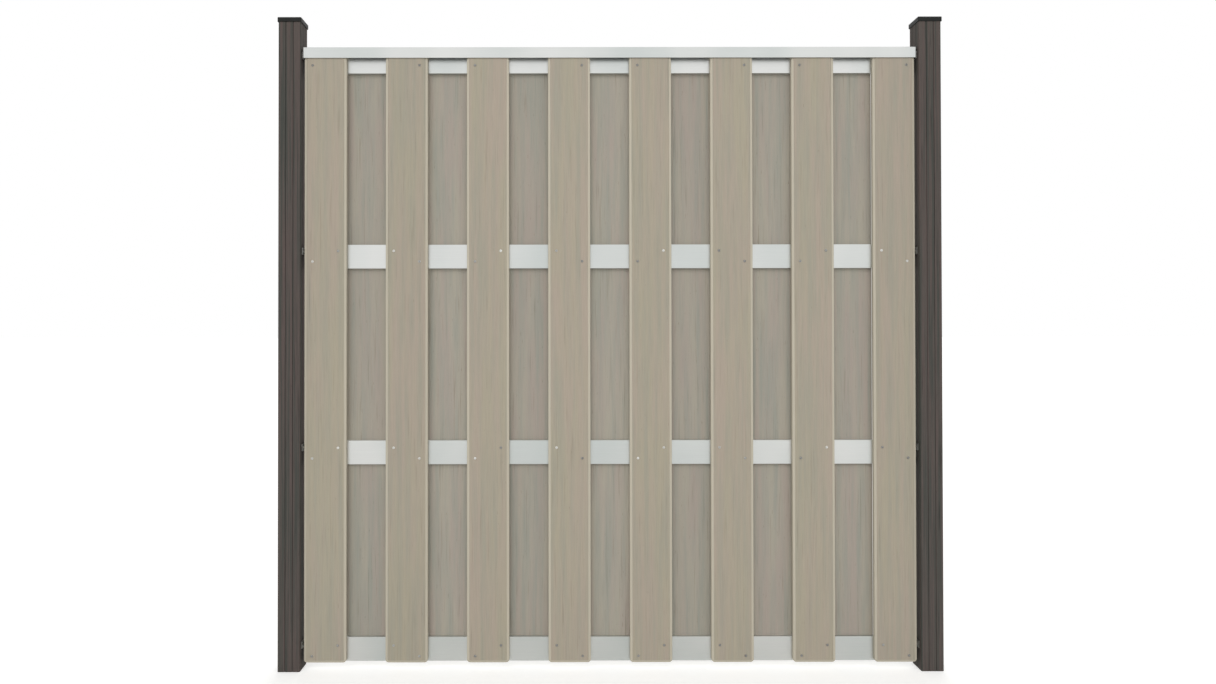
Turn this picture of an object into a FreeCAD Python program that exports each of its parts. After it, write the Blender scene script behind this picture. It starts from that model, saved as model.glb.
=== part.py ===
import FreeCAD, Part
import math
import os

# Garden privacy screen: upright boards staggered on the front and the back of four
# box rails, under a channel-shaped cover profile, hung between two grooved posts.
# Millimetres. X runs along the screen, -Y is its front, +Z is up. The origin is on
# the ground, midway between the posts and midway through their depth.

# Panel
panel_width = 1790.0            # outer edges of the two outermost front boards
panel_height = 1800.0           # foot of the boards to the top of the cover profile
ground_gap = 22.0               # foot of the posts to the foot of the boards

# Boards
front_board_count = 8
board_width = 123.3
board_thickness = 15.0
board_corner_radius = 9.0
board_bevel_width = 7.5         # sloping border round the face that shows
board_bevel_depth = 2.5

# Rails, square-cut box profiles
rail_names = ["bottom_rail", "lower_rail", "upper_rail", "top_rail"]
rail_height = 70.0
rail_depth = 12.0
rail_wall = 1.5
rail_overhang = 2.0             # how far a rail end stands out past the outermost board

# Cover profile, an upturned channel over the top of the panel
cover_web = 2.0
cover_flange = 1.5
cover_drop = 31.5               # top of the web to the lower edge of the flanges
cover_edge_bevel = 1.0
cover_head_room = 2.0           # between the boards and the flange, for the screw heads
cover_screw_count = 4
cover_screw_inset = 90.0        # end of the cover to its first screw

# Posts: a square steel tube inside a hollow moulded sleeve, closed by a cap
post_above_panel = 72.0         # top of the cover to the upper end of the sleeve
core_size = 50.0
core_wall = 2.0
core_radius = 4.0
core_clearance = 0.3
sleeve_wall = 7.2
sleeve_radius = 3.0
groove_width = 2.4
groove_depth = 1.4
grooves_per_side = 2

# Post caps
cap_overhang = 2.5
cap_rim_height = 13.0
cap_rise = 3.0                  # shallow pyramid on top of the rim
cap_corner_radius = 3.0
cap_edge_bevel = 1.5
cap_skirt_depth = 22.0
cap_skirt_wall = 2.5
cap_skirt_clearance = 0.3

# Angle brackets between the rails and the posts
bracket_thickness = 2.5
bracket_height = 20.0
bracket_rail_leg = 49.0
bracket_post_leg = 27.0
bracket_bend_radius = 4.0       # outside the bend
bracket_rail_hole_inset = 13.0  # end of the leg to its hole
bracket_post_hole_inset = 11.0
bracket_head_clearance = 1.9    # screw head on the post leg to the end of the rail

# Screws. Heads are drawn six-sided and buried shanks four-sided, which keeps more
# than a hundred of them light.
head_sides = 6
shank_sides = 4
head_radius = 4.0
head_height = 1.6
shank_radius = 2.1
shank_clearance = 0.3           # round the shank in a board or a bracket
screw_past_wall = 2.0           # what stands out behind the wall that it bites in
screw_side_inset = 24.0         # edge of a board to its screws
screw_rail_inset = 19.5         # edge of a rail to its screws

# Worked out from the above
back_board_count = front_board_count - 1
board_pitch = (panel_width - board_width) / (front_board_count - 1)
board_length = panel_height - cover_web
rail_count = len(rail_names)
rail_pitch = (board_length - rail_height) / (rail_count - 1)
rail_length = panel_width + 2 * rail_overhang
board_top = ground_gap + board_length
board_seat = rail_depth / 2                  # back of a board, from the middle plane
board_face = board_seat + board_thickness    # face of a board, from the middle plane
screw_dx = board_width / 2 - screw_side_inset
screw_dz = rail_height / 2 - screw_rail_inset
sleeve_bore = core_size + 2 * core_clearance
post_size = sleeve_bore + 2 * sleeve_wall
post_length = ground_gap + panel_height + post_above_panel
rail_end_gap = bracket_thickness + head_height + bracket_head_clearance
post_side = rail_length / 2 + rail_end_gap   # face of the post that looks at the panel
post_centre = post_side + post_size / 2
core_bore = core_size - 2 * core_wall

X_AXIS = FreeCAD.Vector(1, 0, 0)
Y_AXIS = FreeCAD.Vector(0, 1, 0)
Z_AXIS = FreeCAD.Vector(0, 0, 1)


def box(size_x, size_y, size_z, foot=FreeCAD.Vector()):
    """A block standing on the middle of its lower face."""
    corner = foot - FreeCAD.Vector(size_x / 2, size_y / 2, 0)
    return Part.makeBox(size_x, size_y, size_z, corner)


def rounded_square(width, radius):
    """A flat square face with round corners, about the Z axis."""
    half = width / 2
    bow = radius * (1 - math.sqrt(0.5))
    edges = []
    start = FreeCAD.Vector(radius - half, -half, 0)
    for quarter in range(4):
        turn = FreeCAD.Rotation(Z_AXIS, 90 * quarter)
        on_side = turn.multVec(FreeCAD.Vector(half - radius, -half, 0))
        middle = turn.multVec(FreeCAD.Vector(half - bow, bow - half, 0))
        next_side = turn.multVec(FreeCAD.Vector(half, radius - half, 0))
        edges.append(Part.LineSegment(start, on_side).toShape())
        edges.append(Part.Arc(on_side, middle, next_side).toShape())
        start = next_side
    return Part.Face(Part.Wire(edges))


def polygon(corners):
    """A flat face with straight edges, from its corners."""
    points = [FreeCAD.Vector(*corner) for corner in corners]
    return Part.Face(Part.makePolygon(points + points[:1]))


def prism(sides, radius, length):
    """A regular prism along +Z from the origin, with flats facing the row axes."""
    corners = []
    for i in range(sides + 1):
        angle = 2 * math.pi * (i + 0.5) / sides
        corners.append(FreeCAD.Vector(radius * math.cos(angle), radius * math.sin(angle), 0))
    return Part.Face(Part.makePolygon(corners)).extrude(FreeCAD.Vector(0, 0, length))


def aimed(shape, seat, inward):
    """Turn a shape that was drawn along +Z so that it points inward from a seat."""
    shape.Placement = FreeCAD.Placement(seat, FreeCAD.Rotation(Z_AXIS, inward))
    return shape


def screw(seat, inward, reach):
    """A screw whose head lies on the seat and whose shank goes in as far as its reach."""
    head = prism(head_sides, head_radius, head_height)
    head.translate(FreeCAD.Vector(0, 0, -head_height))
    return aimed(head.fuse(prism(shank_sides, shank_radius, reach)), seat, inward)


def drill(seat, inward, depth, clearance=0.0):
    """What a screw's hole takes away, from its seat inward."""
    return aimed(prism(shank_sides, shank_radius + clearance, depth), seat, inward)


def one_solid(shape):
    """The single solid that a chain of cuts and fuses leaves."""
    return shape.Solids[0]


# Places that several pieces share

def rail_foot(index):
    return ground_gap + index * rail_pitch


def front_board_x(index):
    return -panel_width / 2 + board_width / 2 + index * board_pitch


def back_board_x(index):
    return front_board_x(index) + board_pitch / 2


def crossing_screws(centre_x, index, rail_index, side):
    """Seats of the two screws, set on a diagonal, where a board crosses a rail."""
    middle_z = rail_foot(rail_index) + rail_height / 2
    lean = 1 if index % 2 == 0 else -1
    lower = FreeCAD.Vector(centre_x - lean * screw_dx, side * board_face, middle_z - screw_dz)
    upper = FreeCAD.Vector(centre_x + lean * screw_dx, side * board_face, middle_z + screw_dz)
    return [lower, upper]


def board_rows():
    """Front boards face -Y, back boards face +Y: (name, centres, side) of each row."""
    front = [front_board_x(i) for i in range(front_board_count)]
    back = [back_board_x(i) for i in range(back_board_count)]
    return [("front", front, -1), ("back", back, 1)]


def bracket_level(rail_index):
    """Middle height of a bracket, in line with the upper screws of its rail."""
    return rail_foot(rail_index) + rail_height / 2 + screw_dz


def cover_screw_seats():
    span = rail_length - 2 * cover_screw_inset
    step = span / (cover_screw_count - 1)
    top = ground_gap + panel_height
    return [FreeCAD.Vector(-span / 2 + i * step, 0, top) for i in range(cover_screw_count)]


def bracket_rail_seat(side, rail_index):
    x = side * (post_side - bracket_rail_leg + bracket_rail_hole_inset)
    return FreeCAD.Vector(x, board_seat + bracket_thickness, bracket_level(rail_index))


def bracket_post_seat(side, rail_index):
    y = board_seat + bracket_thickness - bracket_post_leg + bracket_post_hole_inset
    return FreeCAD.Vector(side * (post_side - bracket_thickness), y, bracket_level(rail_index))


# Pieces

def board_outline():
    """The face of a board seen square on, standing on the X axis."""
    half = board_width / 2
    r = board_corner_radius
    bow = r * (1 - math.sqrt(0.5))
    foot_right = FreeCAD.Vector(half - r, 0, 0)
    side_right = FreeCAD.Vector(half, 0, r)
    top_right = FreeCAD.Vector(half, 0, board_length)
    top_left = FreeCAD.Vector(-half, 0, board_length)
    side_left = FreeCAD.Vector(-half, 0, r)
    foot_left = FreeCAD.Vector(-half + r, 0, 0)
    edges = [
        Part.Arc(foot_right, FreeCAD.Vector(half - bow, 0, bow), side_right),
        Part.LineSegment(side_right, top_right),
        Part.LineSegment(top_right, top_left),
        Part.LineSegment(top_left, side_left),
        Part.Arc(side_left, FreeCAD.Vector(-half + bow, 0, bow), foot_left),
        Part.LineSegment(foot_left, foot_right)]
    return Part.Face(Part.Wire([edge.toShape() for edge in edges]))


def board(centre_x, index, side):
    """A solid board: the space that its cross section, its long section and its outline
    share. The face that shows slopes down to both long edges and to the foot, the lower
    corners are round, and the upper end, under the cover, is cut square."""
    shoulder = board_thickness - board_bevel_depth
    half = board_width / 2
    inner = half - board_bevel_width
    cross_section = polygon([
        (-half, 0, 0), (half, 0, 0), (half, shoulder, 0), (inner, board_thickness, 0),
        (-inner, board_thickness, 0), (-half, shoulder, 0)])
    long_section = polygon([
        (-half, 0, 0), (-half, shoulder, 0), (-half, board_thickness, board_bevel_width),
        (-half, board_thickness, board_length), (-half, 0, board_length)])
    blank = cross_section.extrude(Z_AXIS * board_length)
    blank = blank.common(long_section.extrude(X_AXIS * board_width))
    blank = blank.common(board_outline().extrude(Y_AXIS * board_thickness))
    if side < 0:
        blank.rotate(FreeCAD.Vector(), Z_AXIS, 180)
    blank.translate(FreeCAD.Vector(centre_x, side * board_seat, ground_gap))
    holes = []
    for rail_index in range(rail_count):
        for seat in crossing_screws(centre_x, index, rail_index, side):
            inward = Y_AXIS * -side
            holes.append(drill(seat, inward, board_thickness, shank_clearance))
    return one_solid(blank.cut(Part.makeCompound(holes)))


def rail(rail_index):
    """An open-ended box profile, drilled for the screws that bite in its walls."""
    foot = FreeCAD.Vector(0, 0, rail_foot(rail_index))
    outside = box(rail_length, rail_depth, rail_height, foot)
    inside = box(
        rail_length, rail_depth - 2 * rail_wall, rail_height - 2 * rail_wall,
        foot + Z_AXIS * rail_wall)
    holes = [inside]
    for name, centres, side in board_rows():
        for index, centre_x in enumerate(centres):
            for seat in crossing_screws(centre_x, index, rail_index, side):
                wall = FreeCAD.Vector(seat.x, side * board_seat, seat.z)
                holes.append(drill(wall, Y_AXIS * -side, rail_wall))
    for side in (-1, 1):
        seat = bracket_rail_seat(side, rail_index)
        holes.append(drill(FreeCAD.Vector(seat.x, board_seat, seat.z), -Y_AXIS, rail_wall))
    if rail_index == rail_count - 1:
        for seat in cover_screw_seats():
            holes.append(drill(FreeCAD.Vector(seat.x, 0, board_top), -Z_AXIS, rail_wall))
    return one_solid(outside.cut(Part.makeCompound(holes)))


def cover_profile():
    """The channel that sits on the boards and hides their upper ends and screws."""
    half = board_face + cover_head_room + cover_flange
    top = ground_gap + panel_height
    outside = box(rail_length, 2 * half, cover_drop, FreeCAD.Vector(0, 0, top - cover_drop))
    long_edges = [
        edge for edge in outside.Edges
        if edge.BoundBox.ZMin > top - 0.01 and edge.BoundBox.XLength > rail_length / 2]
    outside = outside.makeChamfer(cover_edge_bevel, long_edges)
    inside = box(
        rail_length, 2 * (half - cover_flange), cover_drop - cover_web,
        FreeCAD.Vector(0, 0, top - cover_drop))
    holes = [inside]
    for seat in cover_screw_seats():
        holes.append(drill(seat, -Z_AXIS, cover_web, shank_clearance))
    return one_solid(outside.cut(Part.makeCompound(holes)))


def groove_cutters():
    """V-shaped strips that run the length of the sleeve, evenly spaced on each side."""
    cutters = []
    for side_index in range(4):
        for i in range(grooves_per_side):
            across = post_size * ((i + 1) / (grooves_per_side + 1) - 0.5)
            face = post_size / 2
            corners = [
                FreeCAD.Vector(across - groove_width, -face - groove_depth, 0),
                FreeCAD.Vector(across + groove_width, -face - groove_depth, 0),
                FreeCAD.Vector(across, -face + groove_depth, 0)]
            wedge = Part.Face(Part.makePolygon(corners + corners[:1]))
            wedge = wedge.extrude(Z_AXIS * post_length)
            wedge.rotate(FreeCAD.Vector(), Z_AXIS, 90 * side_index)
            cutters.append(wedge)
    return cutters


def post_screw_holes(side):
    """Where the bracket screws go through the sleeve and the steel tube."""
    holes = []
    for rail_index in range(rail_count):
        seat = bracket_post_seat(side, rail_index)
        wall = FreeCAD.Vector(side * post_side, seat.y, seat.z)
        holes.append(drill(wall, X_AXIS * side, sleeve_wall + core_clearance + core_wall))
    return holes


def post_sleeve(side):
    """The moulded sleeve: round corners, fine grooves down every side, square bore."""
    blank = rounded_square(post_size, sleeve_radius).extrude(Z_AXIS * post_length)
    bore = box(sleeve_bore, sleeve_bore, post_length)
    blank = blank.cut(Part.makeCompound(groove_cutters() + [bore]))
    blank.translate(X_AXIS * side * post_centre)
    return one_solid(blank.cut(Part.makeCompound(post_screw_holes(side))))


def post_core(side):
    """The square steel tube that carries the sleeve and takes the ground anchor."""
    outside = rounded_square(core_size, core_radius).extrude(Z_AXIS * post_length)
    tube = outside.cut(box(core_bore, core_bore, post_length))
    tube.translate(X_AXIS * side * post_centre)
    return one_solid(tube.cut(Part.makeCompound(post_screw_holes(side))))


def post_cap(side):
    """A push-in cap: a rim with a shallow pyramid on top and a hollow skirt below."""
    width = post_size + 2 * cap_overhang
    rim = rounded_square(width, cap_corner_radius).extrude(Z_AXIS * cap_rim_height)
    upper_edges = [edge for edge in rim.Edges if edge.BoundBox.ZMin > cap_rim_height / 2]
    rim = rim.makeChamfer(cap_edge_bevel, upper_edges)
    half = width / 2 - cap_corner_radius
    base = [(half, half), (-half, half), (-half, -half), (half, -half)]
    peak = cap_rim_height + cap_rise
    slopes = [polygon([(x, y, cap_rim_height) for x, y in base])]
    for first, second in zip(base, base[1:] + base[:1]):
        slopes.append(polygon([
            (first[0], first[1], cap_rim_height), (second[0], second[1], cap_rim_height),
            (0, 0, peak)]))
    pyramid = Part.makeSolid(Part.makeShell(slopes))
    skirt_size = core_bore - 2 * cap_skirt_clearance
    skirt_bore = skirt_size - 2 * cap_skirt_wall
    foot = Z_AXIS * -cap_skirt_depth
    skirt = box(skirt_size, skirt_size, cap_skirt_depth, foot)
    skirt = skirt.cut(box(skirt_bore, skirt_bore, cap_skirt_depth, foot))
    cap = rim.fuse(skirt).fuse(pyramid)
    cap.translate(FreeCAD.Vector(side * post_centre, 0, post_length))
    return one_solid(cap)


def bracket(side, rail_index):
    """A bent angle: one leg on the back of the rail, the other on the post."""
    corner = FreeCAD.Vector(post_side, board_seat + bracket_thickness, 0)
    along = X_AXIS * bracket_thickness
    through = Y_AXIS * bracket_thickness
    rail_end = corner - X_AXIS * bracket_rail_leg
    post_end = corner - Y_AXIS * bracket_post_leg
    bend_start = corner - X_AXIS * bracket_bend_radius
    bend_end = corner - Y_AXIS * bracket_bend_radius
    bow = bracket_bend_radius * (1 - math.sqrt(0.5))
    bend_middle = corner - FreeCAD.Vector(bow, bow, 0)
    edges = [
        Part.LineSegment(rail_end, bend_start),
        Part.Arc(bend_start, bend_middle, bend_end),
        Part.LineSegment(bend_end, post_end),
        Part.LineSegment(post_end, post_end - along),
        Part.LineSegment(post_end - along, corner - along - through),
        Part.LineSegment(corner - along - through, rail_end - through),
        Part.LineSegment(rail_end - through, rail_end)]
    profile = Part.Face(Part.Wire([edge.toShape() for edge in edges]))
    angle = profile.extrude(Z_AXIS * bracket_height)
    if side < 0:
        angle = angle.mirror(FreeCAD.Vector(), X_AXIS)
    angle.translate(Z_AXIS * (bracket_level(rail_index) - bracket_height / 2))
    rail_hole = drill(
        bracket_rail_seat(side, rail_index), -Y_AXIS, bracket_thickness, shank_clearance)
    post_hole = drill(
        bracket_post_seat(side, rail_index), X_AXIS * side, bracket_thickness, shank_clearance)
    return one_solid(angle.cut(Part.makeCompound([rail_hole, post_hole])))


def board_screws(rail_index, row):
    """All the screws that hold one row of boards to one rail."""
    name, centres, side = row
    reach = board_thickness + rail_wall + screw_past_wall
    screws = []
    for index, centre_x in enumerate(centres):
        for seat in crossing_screws(centre_x, index, rail_index, side):
            screws.append(screw(seat, Y_AXIS * -side, reach))
    return Part.makeCompound(screws)


def bracket_rail_screws(side):
    reach = bracket_thickness + rail_wall + screw_past_wall
    seats = [bracket_rail_seat(side, i) for i in range(rail_count)]
    return Part.makeCompound([screw(seat, -Y_AXIS, reach) for seat in seats])


def bracket_post_screws(side):
    reach = bracket_thickness + sleeve_wall + core_clearance + core_wall
    seats = [bracket_post_seat(side, i) for i in range(rail_count)]
    return Part.makeCompound([screw(seat, X_AXIS * side, reach) for seat in seats])


def cover_screws():
    reach = cover_web + rail_wall + screw_past_wall
    return Part.makeCompound([screw(seat, -Z_AXIS, reach) for seat in cover_screw_seats()])


def all_nodes():
    nodes = {}
    rows = board_rows()
    for name, centres, side in rows:
        for index, centre_x in enumerate(centres):
            nodes["%s_board_%d" % (name, index + 1)] = board(centre_x, index, side)
    for rail_index, rail_name in enumerate(rail_names):
        nodes[rail_name] = rail(rail_index)
        for row in rows:
            nodes["%s_screws_%s" % (row[0], rail_name)] = board_screws(rail_index, row)
    nodes["cover_profile"] = cover_profile()
    nodes["cover_screws"] = cover_screws()
    for hand, side in (("left", -1), ("right", 1)):
        nodes["post_sleeve_" + hand] = post_sleeve(side)
        nodes["post_core_" + hand] = post_core(side)
        nodes["post_cap_" + hand] = post_cap(side)
        for rail_index, rail_name in enumerate(rail_names):
            nodes["bracket_%s_%s" % (rail_name, hand)] = bracket(side, rail_index)
        nodes["bracket_rail_screws_" + hand] = bracket_rail_screws(side)
        nodes["bracket_post_screws_" + hand] = bracket_post_screws(side)
    return nodes


os.makedirs("parts", exist_ok=True)
for node_name, shape in all_nodes().items():
    shape.exportStep("parts/" + node_name + ".step")
    print(node_name, len(shape.Solids), "solids", round(shape.Volume / 1000, 2), "cm3")
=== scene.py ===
import bpy
import bmesh
import math
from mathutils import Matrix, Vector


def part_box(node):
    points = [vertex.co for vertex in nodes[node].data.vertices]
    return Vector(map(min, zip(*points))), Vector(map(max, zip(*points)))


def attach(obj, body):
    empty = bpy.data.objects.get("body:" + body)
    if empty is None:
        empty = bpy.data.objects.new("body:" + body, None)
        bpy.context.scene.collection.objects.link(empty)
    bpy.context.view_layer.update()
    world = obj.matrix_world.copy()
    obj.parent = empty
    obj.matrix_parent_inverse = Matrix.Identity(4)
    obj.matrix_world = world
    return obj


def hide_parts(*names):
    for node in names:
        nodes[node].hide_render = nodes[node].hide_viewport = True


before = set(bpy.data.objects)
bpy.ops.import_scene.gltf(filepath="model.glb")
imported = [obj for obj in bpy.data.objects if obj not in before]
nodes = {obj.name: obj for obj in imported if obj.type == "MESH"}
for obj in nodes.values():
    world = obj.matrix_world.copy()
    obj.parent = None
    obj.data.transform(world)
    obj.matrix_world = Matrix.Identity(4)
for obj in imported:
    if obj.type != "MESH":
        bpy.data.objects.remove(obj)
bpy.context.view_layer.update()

railNames = ["bottom_rail", "lower_rail", "upper_rail", "top_rail"]
sides = {"left": -1, "right": 1}
frontCount = len([name for name in nodes if name.startswith("front_board_")])
backCount = len([name for name in nodes if name.startswith("back_board_")])
print("frame loaded:", len(nodes), "nodes")


# colours are given as they look on a screen, 0 to 255
def shade(red, green, blue):
    linear = []
    for value in (red, green, blue):
        part = value / 255
        linear.append(part / 12.92 if part <= 0.04045 else ((part + 0.055) / 1.055) ** 2.4)
    return (*linear, 1.0)


# node tree helpers, for geometry and for materials
def addNode(tree, kind, sockets=None, **settings):
    node = tree.nodes.new(kind)
    for name, value in settings.items():
        setattr(node, name, value)
    for key, value in (sockets or {}).items():
        if isinstance(value, bpy.types.NodeSocket):
            tree.links.new(value, node.inputs[key])
        else:
            node.inputs[key].default_value = value
    return node


def calc(tree, operation, *terms, clamp=False):
    sockets = dict(enumerate(terms))
    node = addNode(tree, "ShaderNodeMath", sockets, operation=operation, use_clamp=clamp)
    return node.outputs[0]


def point(tree, x=0.0, y=0.0, z=0.0):
    return addNode(tree, "ShaderNodeCombineXYZ", {"X": x, "Y": y, "Z": z}).outputs[0]


def pick(tree, kind, index, choices):
    node = addNode(tree, "GeometryNodeIndexSwitch", data_type=kind)
    while len(node.index_switch_items) < len(choices):
        node.index_switch_items.new()
    tree.links.new(index, node.inputs["Index"])
    for number, choice in enumerate(choices):
        socket = node.inputs[str(number)]
        if isinstance(choice, bpy.types.NodeSocket):
            tree.links.new(choice, socket)
        else:
            socket.default_value = choice
    return node.outputs[0]


def startTree(name, inputs):
    tree = bpy.data.node_groups.new(name, "GeometryNodeTree")
    for label, kind in inputs.items():
        tree.interface.new_socket(label, in_out="INPUT", socket_type="NodeSocket" + kind)
    tree.interface.new_socket("Geometry", in_out="OUTPUT", socket_type="NodeSocketGeometry")
    return tree, tree.nodes.new("NodeGroupInput").outputs


# a random value from 0 up to the most that is given, another one for each number
def chance(tree, most, seed, number=None):
    sockets = {3: most, "Seed": seed}
    if number is not None:
        sockets["ID"] = number
    return addNode(tree, "FunctionNodeRandomValue", sockets, data_type="FLOAT").outputs[1]


# each repeat of a shape gets a tone of its own
def toned(tree, repeats, number, seed, most=1.0):
    return addNode(tree, "GeometryNodeStoreNamedAttribute", {
        "Geometry": repeats, "Name": "tone", "Value": chance(tree, most, seed, number)},
        data_type="FLOAT", domain="INSTANCE").outputs[0]


# every tree ends the same way: real geometry with its material on it
def endTree(tree, geometry, material):
    real = addNode(tree, "GeometryNodeRealizeInstances", {"Geometry": geometry}).outputs[0]
    coated = addNode(tree, "GeometryNodeSetMaterial", {"Geometry": real, "Material": material})
    addNode(tree, "NodeGroupOutput", {"Geometry": coated.outputs[0]})


# a piece made by a tree
def grow(name, tree, values, seedMesh=None, flatFaces=True):
    seed = seedMesh or bpy.data.meshes.new(name + "Seed")
    piece = bpy.data.objects.new(name, seed)
    bpy.context.scene.collection.objects.link(piece)
    modifier = piece.modifiers.new("grow", "NODES")
    modifier.node_group = tree
    for item in tree.interface.items_tree:
        if item.in_out == "INPUT" and item.name in values:
            modifier[item.identifier] = values[item.name]
    if flatFaces:
        keepFlats(piece)
    settle(piece)
    return piece


# flats shade flat although the roundings beside them are smooth
def keepFlats(piece):
    weighted = piece.modifiers.new("flatFaces", "WEIGHTED_NORMAL")
    weighted.weight = 100     # the largest faces decide


# the modifiers' result becomes the piece's own plain mesh
def settle(piece):
    depsgraph = bpy.context.evaluated_depsgraph_get()
    mesh = bpy.data.meshes.new_from_object(piece.evaluated_get(depsgraph), depsgraph=depsgraph)
    piece.modifiers.clear()
    piece.data = mesh
    mesh.name = piece.name


def fit(piece, node):
    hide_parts(node)
    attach(piece, "root")


# corners of a flat line, each rounded by its own radius
def softLine(corners, radii, steps):
    points = []
    for index, (corner, radius) in enumerate(zip(corners, radii)):
        if radius == 0:
            points.append(corner)
            continue
        before, after = corners[index - 1], corners[(index + 1) % len(corners)]
        backward = unit(before[0] - corner[0], before[1] - corner[1])
        forward = unit(after[0] - corner[0], after[1] - corner[1])
        halfTurn = math.acos(backward[0] * forward[0] + backward[1] * forward[1]) / 2
        reach = radius / math.tan(halfTurn)
        middle = unit(backward[0] + forward[0], backward[1] + forward[1])
        centre = along(corner, middle, radius / math.sin(halfTurn))
        start = bearing(centre, along(corner, backward, reach))
        end = bearing(centre, along(corner, forward, reach))
        sweep = math.remainder(end - start, 2 * math.pi)
        for step in range(steps + 1):
            angle = start + sweep * step / steps
            points.append(along(centre, (math.cos(angle), math.sin(angle)), radius))
    return points


def along(start, direction, length):
    return (start[0] + direction[0] * length, start[1] + direction[1] * length)


def bearing(centre, spot):
    return math.atan2(spot[1] - centre[1], spot[0] - centre[0])


def unit(x, y):
    size = math.hypot(x, y)
    return (x / size, y / size)


# neighbouring rings of points joined by bands of faces
def joinRings(bm, rings, closed=True):
    for ring, nextRing in zip(rings, rings[1:]):
        for index in range(len(ring) if closed else len(ring) - 1):
            after = (index + 1) % len(ring)
            bm.faces.new((ring[index], ring[after], nextRing[after], nextRing[index]))


def finishMesh(bm, name):
    bmesh.ops.recalc_face_normals(bm, faces=bm.faces)
    for face in bm.faces:
        face.smooth = True
    mesh = bpy.data.meshes.new(name)
    bm.to_mesh(mesh)
    bm.free()
    return mesh


def emptyTree(owner):
    owner.use_nodes = True
    owner.node_tree.nodes.clear()
    return owner.node_tree


def startMaterial(name):
    material = bpy.data.materials.new(name)
    tree = emptyTree(material)
    surface = addNode(tree, "ShaderNodeBsdfPrincipled")
    addNode(tree, "ShaderNodeOutputMaterial", {"Surface": surface.outputs[0]})
    place = addNode(tree, "ShaderNodeTexCoord").outputs["Object"]
    return material, tree, surface, place


# one noise for each layer, given its detail, its roughness and a shift
def noiseLayers(tree, place, look, layers):
    values = []
    for layer, (detail, roughness, shift) in layers.items():
        mapped = addNode(tree, "ShaderNodeMapping", {
            "Vector": place, "Scale": look[layer + "Scale"], "Location": shift})
        texture = addNode(tree, "ShaderNodeTexNoise", {
            "Vector": mapped.outputs[0], "Scale": 1.0, "Detail": detail, "Roughness": roughness})
        values.append(texture.outputs["Fac"])
    return values


def between(tree, value, low, high, newLow=0.0, newHigh=1.0):
    node = addNode(tree, "ShaderNodeMapRange", {
        "Value": value, "From Min": low, "From Max": high, "To Min": newLow, "To Max": newHigh})
    return node.outputs[0]


# a factor that goes as far below 1 as above it
def swing(tree, value, span, amount):
    return between(tree, value, *span, 1 - amount, 1 + amount)


def mixColour(tree, amount, first, second):
    node = addNode(tree, "ShaderNodeMix", {0: amount, 6: first, 7: second}, data_type="RGBA")
    return node.outputs[2]


# the ground colour, drifting softly towards a second one
def clouded(tree, clouds, look, tint):
    return mixColour(tree, between(tree, clouds, *look["cloudRange"]), look["base"], tint)


def lighten(tree, colour, firstFactor, secondFactor):
    light = calc(tree, "MULTIPLY", firstFactor, secondFactor)
    node = addNode(tree, "ShaderNodeVectorMath", {0: colour, "Scale": light}, operation="SCALE")
    return node.outputs[0]


def readAttribute(tree, name):
    return addNode(tree, "ShaderNodeAttribute", attribute_name=name).outputs["Fac"]


# what every material ends with: its colour, its gloss and its fine relief
def coat(tree, surface, look, colour, gloss, height):
    rough = between(tree, gloss, *look["glossRange"], *look["roughness"])
    relief = addNode(tree, "ShaderNodeBump", {
        "Height": height, "Strength": look["reliefStrength"], "Distance": look["relief"]})
    tree.links.new(colour, surface.inputs["Base Color"])
    tree.links.new(rough, surface.inputs["Roughness"])
    tree.links.new(relief.outputs[0], surface.inputs["Normal"])
    surface.inputs["Metallic"].default_value = look["metallic"]
    surface.inputs["Specular IOR Level"].default_value = look["specular"]


compositeLayers = {
    "cloud": (3.0, 0.55, (0.0, 0.0, 0.0)),
    "vein": (4.0, 0.6, (3.1, 0.0, 7.7)),
    "grain": (5.0, 0.7, (0.0, 5.3, 1.9)),
    "streak": (3.0, 0.55, (9.4, 2.2, 4.8)),
    "fleck": (2.0, 0.5, (1.7, 8.8, 6.1)),
}


# brushed wood-plastic composite, its grain running up the board
def compositeMaterial(name, look):
    material, tree, surface, place = startMaterial(name)
    clouds, veins, grain, streaks, flecks = noiseLayers(tree, place, look, compositeLayers)
    border = readAttribute(tree, "border")
    colour = clouded(tree, clouds, look, look["warm"])
    # the border colour: a lighter sloping border on the boards, painted shade on the floors of the
    # post's grooves
    for layer, value, tint in (("vein", veins, "cool"), ("streak", streaks, "dark"),
                               ("fleck", flecks, "dark"), ("border", border, "edge")):
        amount = between(tree, value, *look[layer + "Range"], 0.0, look[layer + "Amount"])
        colour = mixColour(tree, amount, colour, look[tint])
    light = swing(tree, grain, look["grainRange"], look["grainAmount"])
    tone = swing(tree, readAttribute(tree, "tone"), look["toneRange"], look["toneAmount"])
    relief = calc(tree, "ADD", grain, calc(tree, "MULTIPLY", streaks, look["streakRelief"]))
    coat(tree, surface, look, lighten(tree, colour, light, tone), grain, relief)
    return material


frontBoardLook = {
    "base": shade(165, 157, 139),
    "warm": shade(167, 155, 141),
    "cool": shade(154, 151, 137),
    "dark": shade(112, 104, 90),
    "edge": shade(190, 183, 166),     # where the border attribute says so
    "borderRange": (0.02, 0.22),
    "borderAmount": 0.85,
    "cloudScale": (26.0, 26.0, 2.2),
    "cloudRange": (0.38, 0.62),
    "veinScale": (75.0, 75.0, 3.0),
    "veinRange": (0.42, 0.68),
    "veinAmount": 0.8,
    "grainScale": (950.0, 950.0, 16.0),
    "grainRange": (0.25, 0.75),
    "grainAmount": 0.1,
    "streakScale": (230.0, 230.0, 6.0),
    "streakRange": (0.60, 0.78),
    "streakAmount": 0.35,
    "streakRelief": -0.6,
    "fleckScale": (420.0, 420.0, 45.0),
    "fleckRange": (0.7, 0.78),
    "fleckAmount": 0.55,
    "toneRange": (0.0, 1.0),
    "toneAmount": 0.03,
    "glossRange": (0.3, 0.7),
    "roughness": (0.62, 0.8),
    "metallic": 0.0,
    "specular": 0.35,
    "reliefStrength": 0.35,
    "relief": 0.0006,
}
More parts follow.
